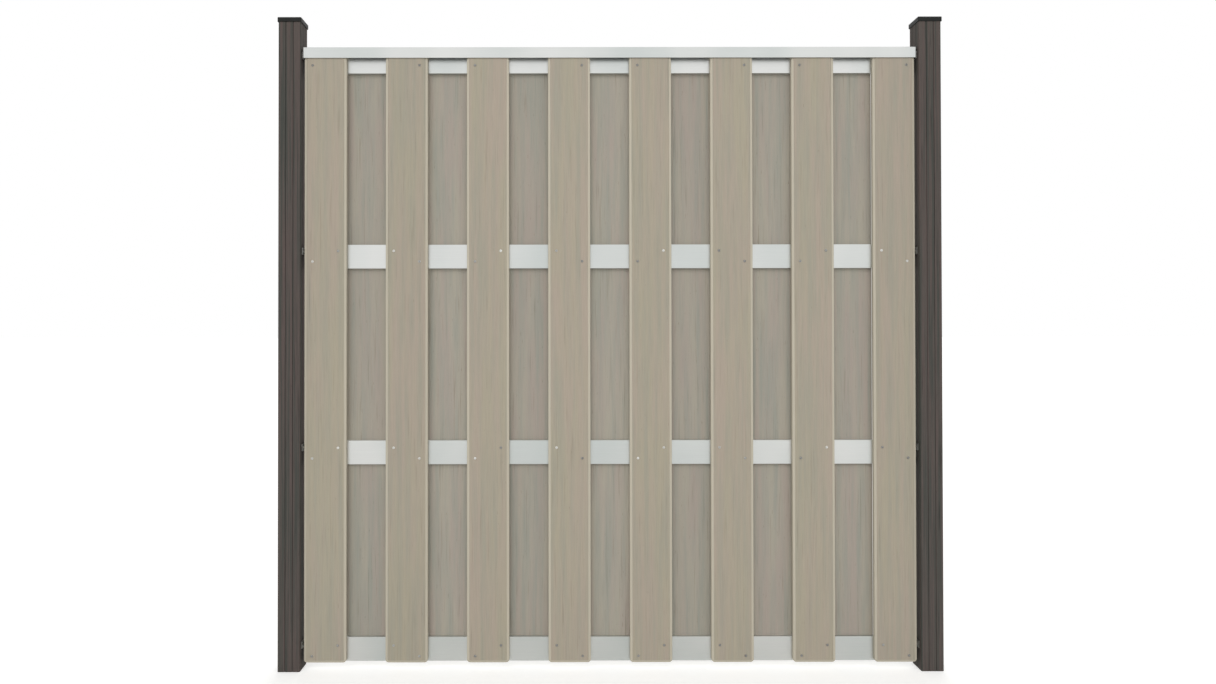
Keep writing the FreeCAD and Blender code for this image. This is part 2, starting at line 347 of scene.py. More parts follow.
backBoardLook = dict(
    frontBoardLook,
    base=shade(163, 157, 144),
    warm=shade(162, 152, 142),
    cool=shade(149, 149, 139),
    veinAmount=0.9,
    streakAmount=0.5,
    toneAmount=0.04)
postLook = dict(
    frontBoardLook,
    base=shade(87, 81, 77),
    warm=shade(92, 81, 78),
    cool=shade(72, 73, 69),
    veinAmount=1.0,
    dark=shade(50, 46, 44),
    # painted shade on the floors of the grooves, carried by the border attribute
    edge=shade(34, 31, 30),
    borderRange=(0.1, 0.9),
    borderAmount=0.78,
    cloudScale=(60.0, 60.0, 1.5),
    veinScale=(150.0, 150.0, 1.6),
    veinRange=(0.44, 0.6),
    grainAmount=0.2,
    streakAmount=0.7,
    toneAmount=0.02,
    roughness=(0.55, 0.75),
    specular=0.07)


metalLayers = {"line": (4.0, 0.65, (0.0, 0.0, 0.0)), "cloud": (2.0, 0.5, (4.0, 1.0, 2.0))}


# anodised or brushed metal, its lines running along one axis
def metalMaterial(name, look):
    material, tree, surface, place = startMaterial(name)
    lines, clouds = noiseLayers(tree, place, look, metalLayers)
    colour = clouded(tree, clouds, look, look["tint"])
    light = swing(tree, lines, look["lineRange"], look["lineAmount"])
    # on the screw heads the tone is a painted glint or painted shade; aluminium and steel keep it
    # at 1
    tone = between(tree, readAttribute(tree, "tone"), *look["toneSpan"], *look["toneRange"])
    coat(tree, surface, look, lighten(tree, colour, light, tone), lines, lines)
    return material


aluminiumLook = {
    "base": shade(226, 227, 225),
    "tint": shade(208, 213, 211),
    "cloudScale": (3.4, 30.0, 2.1),
    "cloudRange": (0.35, 0.65),
    "lineScale": (9.0, 1300.0, 1300.0),
    "lineRange": (0.25, 0.75),
    "lineAmount": 0.045,
    "toneSpan": (0.3, 0.7),
    "toneRange": (1.0, 1.0),
    "glossRange": (0.3, 0.7),
    "roughness": (0.34, 0.46),
    "metallic": 1.0,
    "specular": 0.5,
    "reliefStrength": 0.3,
    "relief": 0.0003,
}
steelLook = dict(
    aluminiumLook,
    base=shade(196, 196, 193),
    tint=shade(178, 177, 172),
    cloudScale=(60.0, 60.0, 60.0),
    lineScale=(500.0, 500.0, 60.0),
    lineAmount=0.05,
    roughness=(0.28, 0.42))
screwLook = dict(
    steelLook,
    base=shade(226, 226, 222),
    tint=shade(212, 211, 206),
    toneRange=(0.45, 1.12),      # heads painted from darker to lighter at random: painted shade or a painted glint
    roughness=(0.22, 0.34))


# hot-dip zinc with its spangle
def galvanisedMaterial(name, look):
    material, tree, surface, place = startMaterial(name)
    dust, = noiseLayers(tree, place, look, {"dust": (4.0, 0.6, (0.0, 0.0, 0.0))})
    cells = addNode(tree, "ShaderNodeTexVoronoi", {
        "Vector": place, "Scale": look["spangleScale"]}).outputs["Color"]
    spangle = addNode(tree, "ShaderNodeSeparateColor", {0: cells}).outputs[0]
    colour = mixColour(tree, spangle, look["base"], look["tint"])
    dusty = between(tree, dust, *look["dustRange"], 0.0, look["dustAmount"])
    coat(tree, surface, look, mixColour(tree, dusty, colour, look["dull"]), spangle, dust)
    return material


galvanisedLook = {
    "base": shade(176, 180, 182),
    "tint": shade(150, 154, 158),
    "dull": shade(122, 124, 124),
    "spangleScale": 160.0,
    "dustScale": (90.0, 90.0, 90.0),
    "dustRange": (0.5, 0.8),
    "dustAmount": 0.5,
    "glossRange": (0.0, 1.0),
    "roughness": (0.38, 0.55),
    "metallic": 1.0,
    "specular": 0.5,
    "reliefStrength": 0.2,
    "relief": 0.0002,
}


capLayers = {"cloud": (3.0, 0.5, (0.0, 0.0, 0.0)), "grit": (3.0, 0.6, (2.0, 7.0, 5.0))}


# dark moulded plastic with a fine spark-eroded texture, and a painted highlight along the rounded
# top edge of the rim, broken up by the grit
def capMaterial(name, look):
    material, tree, surface, place = startMaterial(name)
    clouds, grit = noiseLayers(tree, place, look, capLayers)
    colour = clouded(tree, clouds, look, look["tint"])
    border = readAttribute(tree, "border")
    # the painted highlight on the rim's rounded top edge, broken up by the grit
    paintedRimGlint = between(tree, border, *look["rimGlintRange"], 0.0, look["rimGlintAmount"])
    colour = mixColour(tree, calc(tree, "MULTIPLY", paintedRimGlint, grit), colour, look["paintedRimGlint"])
    coat(tree, surface, look, colour, grit, grit)
    return material


capLook = {
    "base": shade(21, 22, 21),
    "tint": shade(28, 29, 27),
    # the colour of the painted highlight on the rim's rounded top edge
    "paintedRimGlint": shade(78, 80, 79),
    "rimGlintRange": (0.8, 1.0),
    "rimGlintAmount": 0.6,
    "cloudScale": (35.0, 35.0, 35.0),
    "cloudRange": (0.35, 0.65),
    "gritScale": (1500.0, 1500.0, 1500.0),
    "glossRange": (0.3, 0.7),
    "roughness": (0.42, 0.58),
    "metallic": 0.0,
    "specular": 0.25,
    "reliefStrength": 0.25,
    "relief": 0.0002,
}

frontBoardMaterial = compositeMaterial("frontBoardComposite", frontBoardLook)
backBoardMaterial = compositeMaterial("backBoardComposite", backBoardLook)
postMaterial = compositeMaterial("postComposite", postLook)
aluminiumMaterial = metalMaterial("anodisedAluminium", aluminiumLook)
steelMaterial = metalMaterial("stainlessSteel", steelLook)
screwMaterial = metalMaterial("screwSteel", screwLook)
galvanised = galvanisedMaterial("galvanisedSteel", galvanisedLook)
darkPlastic = capMaterial("darkPlastic", capLook)
print("materials made")


boardShape = {
    "bevelWidth": 0.0075,
    "bevelDepth": 0.0025,
    "cornerRadius": 0.009,
    "backRounding": 0.0008,
    "shoulderRounding": 0.0015,
    "crestRounding": 0.006,
    "flatInset": 0.0087,      # where the sloping border has run into the flat face
    "roundSteps": 4,
    "cornerSteps": 8,
}


# one board standing on the origin, its back in the XZ plane, its face towards +Y
def boardBlank(shape, width, thickness, length):
    bevelWidth, bevelDepth = shape["bevelWidth"], shape["bevelDepth"]
    corners = [(shape["flatInset"], 0.0), (0.0, 0.0), (0.0, thickness - bevelDepth),
               (bevelWidth, thickness), (shape["flatInset"], thickness)]
    radii = [0, shape["backRounding"], shape["shoulderRounding"], shape["crestRounding"], 0]
    profile = softLine(corners, radii, shape["roundSteps"])
    radius = shape["cornerRadius"]
    half = width / 2
    bm = bmesh.new()
    rings = []
    for inset, depth in profile:
        outline = [(-half + inset, length)]
        for centreX, startAngle in ((-half + radius, math.pi), (half - radius, 1.5 * math.pi)):
            for step in range(shape["cornerSteps"] + 1):
                angle = startAngle + math.pi / 2 * step / shape["cornerSteps"]
                centre = (centreX, radius)
                outline.append(along(centre, (math.cos(angle), math.sin(angle)), radius - inset))
        outline.append((half - inset, length))
        rings.append([bm.verts.new((x, depth, z)) for x, z in outline])
    joinRings(bm, rings, closed=False)
    bm.faces.new(rings[-1])
    bm.faces.new(reversed(rings[0]))
    bm.faces.new([ring[0] for ring in rings] + [ring[-1] for ring in reversed(rings)])
    borderLayer = bm.verts.layers.float.new("border")
    for vert in bm.verts:
        onBack = vert.co.y < shape["backRounding"] / 2
        vert[borderLayer] = 0.0 if onBack else min(1.0, (thickness - vert.co.y) / bevelDepth)
    return finishMesh(bm, "boardBlank")


# a row of boards: the blank set down at every pitch, each with its own tone
def boardRowTree():
    tree, given = startTree("boardRow", {
        "Blank": "Geometry", "First Board": "Int", "Boards": "Int", "Row Start": "Float",
        "Pitch": "Float", "Seat": "Float", "Foot": "Float", "Facing": "Float",
        "Seed": "Int", "Material": "Material"})
    line = addNode(tree, "GeometryNodeMeshLine", {"Count": given["Boards"]}).outputs[0]
    index = addNode(tree, "GeometryNodeInputIndex").outputs[0]
    number = calc(tree, "ADD", index, given["First Board"])
    across = calc(tree, "ADD", given["Row Start"], calc(tree, "MULTIPLY", number, given["Pitch"]))
    seat = point(tree, across, given["Seat"], given["Foot"])
    seats = addNode(tree, "GeometryNodeSetPosition", {"Geometry": line, "Position": seat})
    turn = calc(tree, "MULTIPLY", calc(tree, "SUBTRACT", 1.0, given["Facing"]), math.pi / 2)
    boards = addNode(tree, "GeometryNodeInstanceOnPoints", {
        "Points": seats.outputs[0], "Instance": given["Blank"],
        "Rotation": point(tree, 0.0, 0.0, turn)})
    endTree(tree, toned(tree, boards.outputs[0], number, given["Seed"]), given["Material"])
    return tree


def middleX(node):
    low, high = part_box(node)
    return (low.x + high.x) / 2


boardTree = boardRowTree()
boardRows = {
    "front": {"count": frontCount, "facing": -1.0, "seed": 11, "material": frontBoardMaterial},
    "back": {"count": backCount, "facing": 1.0, "seed": 23, "material": backBoardMaterial},
}
boardLow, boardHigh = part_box("front_board_1")
boardWidth = boardHigh.x - boardLow.x
boardThickness = boardHigh.y - boardLow.y
blank = boardBlank(boardShape, boardWidth, boardThickness, boardHigh.z - boardLow.z)
boardPitch = middleX("front_board_2") - middleX("front_board_1")
for rowName, row in boardRows.items():
    low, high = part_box(rowName + "_board_1")
    row["start"] = middleX(rowName + "_board_1")
    row["seat"] = high.y if row["facing"] < 0 else low.y
    row["face"] = low.y if row["facing"] < 0 else high.y
    for number in range(row["count"]):
        node = "%s_board_%d" % (rowName, number + 1)
        board = grow(node + "_dressed", boardTree, {
            "First Board": number, "Boards": 1, "Row Start": row["start"], "Pitch": boardPitch,
            "Seat": row["seat"], "Foot": low.z, "Facing": row["facing"], "Seed": row["seed"],
            "Material": row["material"]}, blank.copy())
        fit(board, node)
print("boards made")


screwShape = {
    "headRadius": 0.004,
    "headHeight": 0.0016,
    # shares of the radius and of the height, from the underside to the top
    "headProfile": [(0.95, 0.0), (1.0, 0.2), (0.96, 0.5), (0.84, 0.78), (0.64, 0.95), (0.5, 1.0)],
    "recessRadius": 0.00165,     # at the tips of the six lobes
    "recessWaist": 0.00125,      # between them
    "recessDepth": 0.0011,
    "recessTaper": 0.9,
    "shankRadius": 0.0020,
    "neckLength": 0.0004,
    "tipRadius": 0.0002,
    "tipStart": 0.8,             # share of the reach where the shank begins to taper
    "segments": 18,
    "lobes": 6,
}
lobeTurn = 2 * math.pi / screwShape["lobes"]


# one pan-head screw with a six-lobe recess, head towards +Y, seated on the origin
def screwMesh(shape, reach):
    radius, height, shank = shape["headRadius"], shape["headHeight"], shape["shankRadius"]
    rings = [(shape["tipRadius"], -reach), (shank, -reach * shape["tipStart"]),
             (shank, -shape["neckLength"])]
    rings += [(radius * share, height * rise) for share, rise in shape["headProfile"]]
    bm = bmesh.new()
    loops = [screwRing(bm, shape, ringRadius, ringRadius, rise) for ringRadius, rise in rings]
    outer, inner, taper = shape["recessRadius"], shape["recessWaist"], shape["recessTaper"]
    loops.append(screwRing(bm, shape, outer, inner, height))
    loops.append(screwRing(bm, shape, outer * taper, inner * taper, height - shape["recessDepth"]))
    joinRings(bm, loops)
    bm.faces.new(loops[0])
    bm.faces.new(loops[-1])
    return finishMesh(bm, "screw")


def screwRing(bm, shape, outer, inner, rise):
    verts = []
    perLobe = shape["segments"] // shape["lobes"]
    for index in range(shape["segments"]):
        angle = 2 * math.pi * index / shape["segments"]
        radius = outer if index % perLobe == 0 else inner
        verts.append(bm.verts.new((radius * math.cos(angle), rise, radius * math.sin(angle))))
    return verts


# two screws on a diagonal where each board crosses a rail, the lean changing board by board
def crossingScrewTree():
    tree, given = startTree("crossingScrews", {
        "Screw": "Geometry", "Boards": "Int", "Row Start": "Float", "Pitch": "Float",
        "Side Offset": "Float", "Rail Offset": "Float", "Face": "Float", "Level": "Float",
        "Facing": "Float", "Head Glint": "Float", "Seed": "Int", "Material": "Material"})
    count = calc(tree, "MULTIPLY", given["Boards"], 2.0)
    line = addNode(tree, "GeometryNodeMeshLine", {"Count": count}).outputs[0]
    index = addNode(tree, "GeometryNodeInputIndex").outputs[0]
    board = calc(tree, "FLOOR", calc(tree, "DIVIDE", index, 2.0))
    upper = calc(tree, "MULTIPLY_ADD", calc(tree, "MODULO", index, 2.0), 2.0, -1.0)
    lean = calc(tree, "MULTIPLY_ADD", calc(tree, "MODULO", board, 2.0), -2.0, 1.0)
    aside = calc(tree, "MULTIPLY", calc(tree, "MULTIPLY", upper, lean), given["Side Offset"])
    across = calc(tree, "ADD", given["Row Start"], calc(tree, "MULTIPLY", board, given["Pitch"]))
    across = calc(tree, "ADD", across, aside)
    rise = calc(tree, "ADD", given["Level"], calc(tree, "MULTIPLY", upper, given["Rail Offset"]))
    seat = point(tree, across, given["Face"], rise)
    seats = addNode(tree, "GeometryNodeSetPosition", {"Geometry": line, "Position": seat})
    turn = calc(tree, "MULTIPLY", calc(tree, "SUBTRACT", 1.0, given["Facing"]), math.pi / 2)
    aim = point(tree, 0.0, chance(tree, lobeTurn, given["Seed"]), turn)
    screws = addNode(tree, "GeometryNodeInstanceOnPoints", {
        "Points": seats.outputs[0], "Instance": given["Screw"], "Rotation": aim}).outputs[0]
    # each head gets a painted glint or painted shade of its own
    endTree(tree, toned(tree, screws, index, given["Seed"], given["Head Glint"]), given["Material"])
    return tree


# a straight row of screws, all facing one way
def screwLineTree():
    tree, given = startTree("screwLine", {
        "Screw": "Geometry", "Screws": "Int", "First": "Vector", "Step": "Vector",
        "Turn": "Vector", "Seed": "Int", "Material": "Material"})
    line = addNode(tree, "GeometryNodeMeshLine", {
        "Count": given["Screws"], "Start Location": given["First"],
        "Offset": given["Step"]}).outputs[0]
    spin = point(tree, 0.0, chance(tree, lobeTurn, given["Seed"]), 0.0)
    own = addNode(tree, "FunctionNodeEulerToRotation", {0: spin}).outputs[0]
    aim = addNode(tree, "FunctionNodeEulerToRotation", {0: given["Turn"]}).outputs[0]
    turned = addNode(tree, "FunctionNodeRotateRotation", {0: own, 1: aim}, rotation_space="GLOBAL")
    screws = addNode(tree, "GeometryNodeInstanceOnPoints", {
        "Points": line, "Instance": given["Screw"], "Rotation": turned.outputs[0]}).outputs[0]
    index = addNode(tree, "GeometryNodeInputIndex").outputs[0]
    # each head gets a painted glint or painted shade of its own
    endTree(tree, toned(tree, screws, index, given["Seed"]), given["Material"])
    return tree


screwPlaces = {
    "sideInset": 0.024,       # edge of a board to its screws
    "railInset": 0.0195,      # edge of a rail to its screws
    "boardReach": 0.0185,
    "bracketRailReach": 0.006,
    "bracketPostReach": 0.012,
    "coverReach": 0.0055,
    "coverInset": 0.09,       # end of the cover to its first screw
    "coverScrews": 4,
    "headGlint": [0.42, 1.0, 1.0, 0.42],     # the most of each rail's painted glint, from the bottom rail up; the outer rails' heads are painted darker
    "seedStep": 10,           # between the seeds of two rails
    "bracketRailSeed": 50,
    "bracketPostSeed": 60,
    "coverSeed": 70,
}
crossingTree = crossingScrewTree()
lineTree = screwLineTree()
boardScrew = screwMesh(screwShape, screwPlaces["boardReach"])
for railNumber, railName in enumerate(railNames):
    railLow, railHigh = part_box(railName)
    for rowNumber, (rowName, row) in enumerate(boardRows.items()):
        node = "%s_screws_%s" % (rowName, railName)
        screws = grow(node + "_dressed", crossingTree, {
            "Boards": row["count"], "Row Start": row["start"], "Pitch": boardPitch,
            "Side Offset": boardWidth / 2 - screwPlaces["sideInset"],
            "Rail Offset": (railHigh.z - railLow.z) / 2 - screwPlaces["railInset"],
            "Face": row["face"], "Level": (railLow.z + railHigh.z) / 2, "Facing": row["facing"],
            "Head Glint": screwPlaces["headGlint"][railNumber],
            "Seed": screwPlaces["seedStep"] * railNumber + rowNumber, "Material": screwMaterial},
            boardScrew.copy(), flatFaces=False)
        fit(screws, node)

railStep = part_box(railNames[1])[0].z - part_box(railNames[0])[0].z
for side, sign in sides.items():
    bracketLow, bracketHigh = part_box("bracket_bottom_rail_" + side)
    level = (bracketLow.z + bracketHigh.z) / 2
    low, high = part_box("bracket_rail_screws_" + side)
    first = ((low.x + high.x) / 2, bracketHigh.y, level)
    screws = grow("bracket_rail_screws_%s_dressed" % side, lineTree, {
        "Screws": len(railNames), "First": first, "Step": (0.0, 0.0, railStep),
        "Turn": (0.0, 0.0, 0.0), "Seed": screwPlaces["bracketRailSeed"] + sign,
        "Material": screwMaterial},
        screwMesh(screwShape, screwPlaces["bracketRailReach"]), flatFaces=False)
    fit(screws, "bracket_rail_screws_" + side)
    low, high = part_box("bracket_post_screws_" + side)
    headSeat = low.x + screwShape["headHeight"] if sign > 0 else high.x - screwShape["headHeight"]
    first = (headSeat, (low.y + high.y) / 2, level)
    screws = grow("bracket_post_screws_%s_dressed" % side, lineTree, {
        "Screws": len(railNames), "First": first, "Step": (0.0, 0.0, railStep),
        "Turn": (0.0, 0.0, sign * math.pi / 2), "Seed": screwPlaces["bracketPostSeed"] + sign,
        "Material": screwMaterial},
        screwMesh(screwShape, screwPlaces["bracketPostReach"]), flatFaces=False)
    fit(screws, "bracket_post_screws_" + side)

low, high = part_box("cover_profile")
firstX = low.x + screwPlaces["coverInset"]
stepX = (high.x - low.x - 2 * screwPlaces["coverInset"]) / (screwPlaces["coverScrews"] - 1)
coverScrews = grow("cover_screws_dressed", lineTree, {
    "Screws": screwPlaces["coverScrews"], "First": (firstX, 0.0, high.z),
    "Step": (stepX, 0.0, 0.0), "Turn": (math.pi / 2, 0.0, 0.0),
    "Seed": screwPlaces["coverSeed"], "Material": screwMaterial},
    screwMesh(screwShape, screwPlaces["coverReach"]), flatFaces=False)
fit(coverScrews, "cover_screws")
print("screws made")


# corners joined by straight runs and rounded, drawn in the XY plane
def roundedOutline(tree, corners, radii, steps):
    index = addNode(tree, "GeometryNodeInputIndex").outputs[0]
    line = addNode(tree, "GeometryNodeMeshLine", {"Count": len(corners)}).outputs[0]
    placed = addNode(tree, "GeometryNodeSetPosition", {
        "Geometry": line, "Position": pick(tree, "VECTOR", index, corners)}).outputs[0]
    return roundOff(tree, placed, pick(tree, "FLOAT", index, radii), steps)


def roundOff(tree, line, radius, steps):
    curve = addNode(tree, "GeometryNodeMeshToCurve", {"Mesh": line}).outputs[0]
    closed = addNode(tree, "GeometryNodeSetSplineCyclic", {"Geometry": curve, "Cyclic": True})
    return fillet(tree, closed.outputs[0], radius, steps)


def fillet(tree, curve, radius, steps):
    return addNode(tree, "GeometryNodeFilletCurve", {
        "Curve": curve, "Radius": radius, "Count": steps}, mode="POLY").outputs[0]


weldDistance = 0.00001


# outlines filled, pushed out along +Z, closed at the foot, then turned and put in place
def pushedBar(tree, outlines, length, turn, place):
    section = addNode(tree, "GeometryNodeFillCurve", {"Curve": join(tree, outlines)},
                      mode="TRIANGLES").outputs[0]
    upper = addNode(tree, "GeometryNodeExtrudeMesh", {
        "Mesh": section, "Offset": (0.0, 0.0, 1.0), "Offset Scale": length,
        "Individual": False}).outputs[0]
    lower = addNode(tree, "GeometryNodeFlipFaces", {"Mesh": section}).outputs[0]
    closed = addNode(tree, "GeometryNodeMergeByDistance", {
        "Geometry": join(tree, (lower, upper)), "Distance": weldDistance}).outputs[0]
    smooth = addNode(tree, "GeometryNodeSetShadeSmooth", {"Geometry": closed}).outputs[0]
    return addNode(tree, "GeometryNodeTransform", {
        "Geometry": smooth, "Translation": place, "Rotation": turn}).outputs[0]


def join(tree, parts):
    joined = addNode(tree, "GeometryNodeJoinGeometry")
    for part in parts:
        tree.links.new(part, joined.inputs[0])
    return joined.outputs[0]


upright = (0.0, 0.0, 0.0)
alongX = (math.pi / 2, 0.0, math.pi / 2)   # section X to world Y, section Y to world Z


def railTree(shape):
    tree, given = startTree("rail", {
        "Depth": "Float", "Height": "Float", "Wall": "Float", "Edge Radius": "Float",
        "Length": "Float", "Place": "Vector", "Material": "Material"})
    outlines = []
    for shrink in (0.0, 2.0):
        cut = calc(tree, "MULTIPLY", given["Wall"], shrink)
        sheet = addNode(tree, "GeometryNodeCurvePrimitiveQuadrilateral", {
            "Width": calc(tree, "SUBTRACT", given["Depth"], cut),
            "Height": calc(tree, "SUBTRACT", given["Height"], cut)}).outputs[0]
        outlines.append(fillet(tree, sheet, given["Edge Radius"], shape["roundSteps"]))
    bar = pushedBar(tree, outlines, given["Length"], alongX, given["Place"])
    endTree(tree, bar, given["Material"])
    return tree


railShape = {"wall": 0.0015, "edgeRadius": 0.0005, "roundSteps": 3}
tree = railTree(railShape)
for railName in railNames:
    low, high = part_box(railName)
    rail = grow(railName + "_dressed", tree, {
        "Depth": high.y - low.y, "Height": high.z - low.z, "Wall": railShape["wall"],
        "Edge Radius": railShape["edgeRadius"], "Length": high.x - low.x,
        "Place": (low.x, (low.y + high.y) / 2, (low.z + high.z) / 2),
        "Material": aluminiumMaterial})
    fit(rail, railName)


def coverTree(shape):
    tree, given = startTree("cover", {
        "Half Width": "Float", "Drop": "Float", "Web": "Float", "Flange": "Float",
        "Top Rounding": "Float", "Lip Rounding": "Float", "Length": "Float",
        "Place": "Vector", "Material": "Material"})
    outer = given["Half Width"]
    inner = calc(tree, "SUBTRACT", outer, given["Flange"])
    foot = calc(tree, "MULTIPLY", given["Drop"], -1.0)
    ceiling = calc(tree, "MULTIPLY", given["Web"], -1.0)
    otherOuter = calc(tree, "MULTIPLY", outer, -1.0)
    otherInner = calc(tree, "MULTIPLY", inner, -1.0)
    spots = [(otherOuter, foot), (otherInner, foot), (otherInner, ceiling), (inner, ceiling),
             (inner, foot), (outer, foot), (outer, 0.0), (otherOuter, 0.0)]
    corners = [point(tree, x, y) for x, y in spots]
    radii = [given["Lip Rounding"]] * 6 + [given["Top Rounding"]] * 2
    outline = roundedOutline(tree, corners, radii, shape["roundSteps"])
    bar = pushedBar(tree, [outline], given["Length"], alongX, given["Place"])
    endTree(tree, bar, given["Material"])
    return tree


coverShape = {
    "web": 0.002, "flange": 0.0015, "topRounding": 0.0015, "lipRounding": 0.0005, "roundSteps": 4}
low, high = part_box("cover_profile")
cover = grow("cover_profile_dressed", coverTree(coverShape), {
    "Half Width": high.y, "Drop": high.z - low.z, "Web": coverShape["web"],
    "Flange": coverShape["flange"], "Top Rounding": coverShape["topRounding"],
    "Lip Rounding": coverShape["lipRounding"], "Length": high.x - low.x,
    "Place": (low.x, 0.0, high.z), "Material": aluminiumMaterial})
fit(cover, "cover_profile")
print("rails and cover made")


def bracketTree(shape):
    tree, given = startTree("bracket", {
        "Rail Leg": "Float", "Post Leg": "Float", "Thickness": "Float", "Bend Radius": "Float",
        "Edge Radius": "Float", "Side": "Float", "Height": "Float", "Place": "Vector",
        "Material": "Material"})
    thick = given["Thickness"]
    inner = calc(tree, "MULTIPLY", thick, -1.0)
    railEnd = calc(tree, "MULTIPLY", given["Rail Leg"], -1.0)
    postEnd = calc(tree, "MULTIPLY", given["Post Leg"], -1.0)
    inside = calc(tree, "SUBTRACT", given["Bend Radius"], thick)
    spots = [(0.0, 0.0), (0.0, postEnd), (inner, postEnd), (inner, inner), (railEnd, inner),
             (railEnd, 0.0)]
    corners = [point(tree, calc(tree, "MULTIPLY", x, given["Side"]), y) for x, y in spots]
    edge = given["Edge Radius"]
    radii = [given["Bend Radius"], edge, edge, inside, edge, edge]
    outline = roundedOutline(tree, corners, radii, shape["roundSteps"])
    bar = pushedBar(tree, [outline], given["Height"], upright, given["Place"])
    endTree(tree, bar, given["Material"])
    return tree


bracketShape = {"thickness": 0.0025, "bendRadius": 0.004, "edgeRadius": 0.0004, "roundSteps": 4}
tree = bracketTree(bracketShape)
for railName in railNames:
    for side, sign in sides.items():
        node = "bracket_%s_%s" % (railName, side)
        low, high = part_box(node)
        cornerX = high.x if sign > 0 else low.x
        bracket = grow(node + "_dressed", tree, {
            "Rail Leg": high.x - low.x, "Post Leg": high.y - low.y,
            "Thickness": bracketShape["thickness"], "Bend Radius": bracketShape["bendRadius"],
            "Edge Radius": bracketShape["edgeRadius"],
            "Side": float(sign), "Height": high.z - low.z, "Place": (cornerX, high.y, low.z),
            "Material": steelMaterial})
        fit(bracket, node)
print("brackets made")


# a square outline whose sides carry V grooves, worked out corner by corner
def sleeveTree(shape):
    tree, given = startTree("sleeve", {
        "Size": "Float", "Bore": "Float", "Corner Radius": "Float", "Groove Width": "Float",
        "Groove Depth": "Float", "Lip Radius": "Float", "Height": "Float", "Place": "Vector",
        "Material": "Material"})
    half = calc(tree, "MULTIPLY", given["Size"], 0.5)
    front = calc(tree, "MULTIPLY", half, -1.0)
    floor = calc(tree, "ADD", front, given["Groove Depth"])
    lipReach = calc(tree, "MULTIPLY", given["Groove Width"], 0.5)
    spots = [point(tree, front, front)]
    radii = [given["Corner Radius"]]
    for share in shape["grooveShares"]:
        across = calc(tree, "MULTIPLY", given["Size"], share)
        spots.append(point(tree, calc(tree, "SUBTRACT", across, lipReach), front))
        spots.append(point(tree, across, floor))
        spots.append(point(tree, calc(tree, "ADD", across, lipReach), front))
        radii += [given["Lip Radius"]] * 3
    index = addNode(tree, "GeometryNodeInputIndex").outputs[0]
    spot = calc(tree, "MODULO", index, float(len(spots)))
    quarter = calc(tree, "FLOOR", calc(tree, "DIVIDE", index, float(len(spots))))
    onSide = pick(tree, "VECTOR", spot, spots)
    turned = addNode(tree, "ShaderNodeVectorRotate", {
        "Vector": onSide, "Angle": calc(tree, "MULTIPLY", quarter, math.pi / 2)}).outputs[0]
    line = addNode(tree, "GeometryNodeMeshLine", {"Count": 4 * len(spots)}).outputs[0]
    placed = addNode(tree, "GeometryNodeSetPosition", {"Geometry": line, "Position": turned})
    radius = pick(tree, "FLOAT", spot, radii)
    outside = roundOff(tree, placed.outputs[0], radius, shape["roundSteps"])
    bore = addNode(tree, "GeometryNodeCurvePrimitiveQuadrilateral", {
        "Width": given["Bore"], "Height": given["Bore"]}).outputs[0]
    bar = pushedBar(tree, [outside, bore], given["Height"], upright, given["Place"])
    # the groove floors are marked for painted shade
    marked = addNode(tree, "GeometryNodeStoreNamedAttribute", {
        "Geometry": bar, "Name": "border", "Value": grooveFloors(tree, given, half, shape)},
        data_type="FLOAT", domain="POINT").outputs[0]
    endTree(tree, marked, given["Material"])
    return tree


# where painted shade goes: 1 on the floor of a groove and 0 on the faces, the round corners and
# the bore
def grooveFloors(tree, given, half, shape):
    depth = given["Groove Depth"]
    spot = addNode(tree, "GeometryNodeInputPosition").outputs[0]
    fromPost = addNode(tree, "ShaderNodeVectorMath", {0: spot, 1: given["Place"]},
                       operation="SUBTRACT").outputs[0]
    away = addNode(tree, "ShaderNodeSeparateXYZ", {0: fromPost}).outputs
    aside = [calc(tree, "ABSOLUTE", away[axis]) for axis in (0, 1)]
    sunk = calc(tree, "SUBTRACT", half, calc(tree, "MAXIMUM", *aside))
    mark = calc(tree, "DIVIDE", sunk, depth, clamp=True)
    nearFace = calc(tree, "LESS_THAN", sunk, calc(tree, "MULTIPLY", depth, shape["markDepth"]))
    span = calc(tree, "MULTIPLY", half, shape["markSpan"])
    offCorner = calc(tree, "LESS_THAN", calc(tree, "MINIMUM", *aside), span)
    return calc(tree, "MULTIPLY", mark, calc(tree, "MULTIPLY", nearFace, offCorner))


sleeveShape = {
    "bore": 0.0506,
    "cornerRadius": 0.003,
    "grooveShares": (-1 / 6, 1 / 6),     # of the post's width, from the middle of a side
    "grooveWidth": 0.0024,
    "grooveDepth": 0.0014,
    "lipRadius": 0.0004,
    "roundSteps": 3,
    "markDepth": 1.5,     # points deeper than this many groove depths belong to the bore
    "markSpan": 0.8,      # share of a half side that is clear of the round corners
}
tree = sleeveTree(sleeveShape)
for side in sides:
    low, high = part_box("post_sleeve_" + side)
    sleeve = grow("post_sleeve_%s_dressed" % side, tree, {
        "Size": high.x - low.x, "Bore": sleeveShape["bore"],
        "Corner Radius": sleeveShape["cornerRadius"],
        "Groove Width": sleeveShape["grooveWidth"], "Groove Depth": sleeveShape["grooveDepth"],
        "Lip Radius": sleeveShape["lipRadius"], "Height": high.z - low.z,
        "Place": ((low.x + high.x) / 2, 0.0, low.z), "Material": postMaterial})
    fit(sleeve, "post_sleeve_" + side)
    nodes["post_core_" + side].data.materials.clear()
    nodes["post_core_" + side].data.materials.append(galvanised)


capShape = {
    "rimHeight": 0.013,
    "edgeRounding": 0.0018,
    "lowerRounding": 0.0006,
    "cornerRadius": 0.003,
    "skirtSize": 0.0454,
    "skirtWall": 0.0025,
    "skirtDepth": 0.022,
    "skirtRadius": 0.001,
    "skirtRounding": 0.0004,
    "cornerSteps": 6,
    "roundSteps": 4,
}


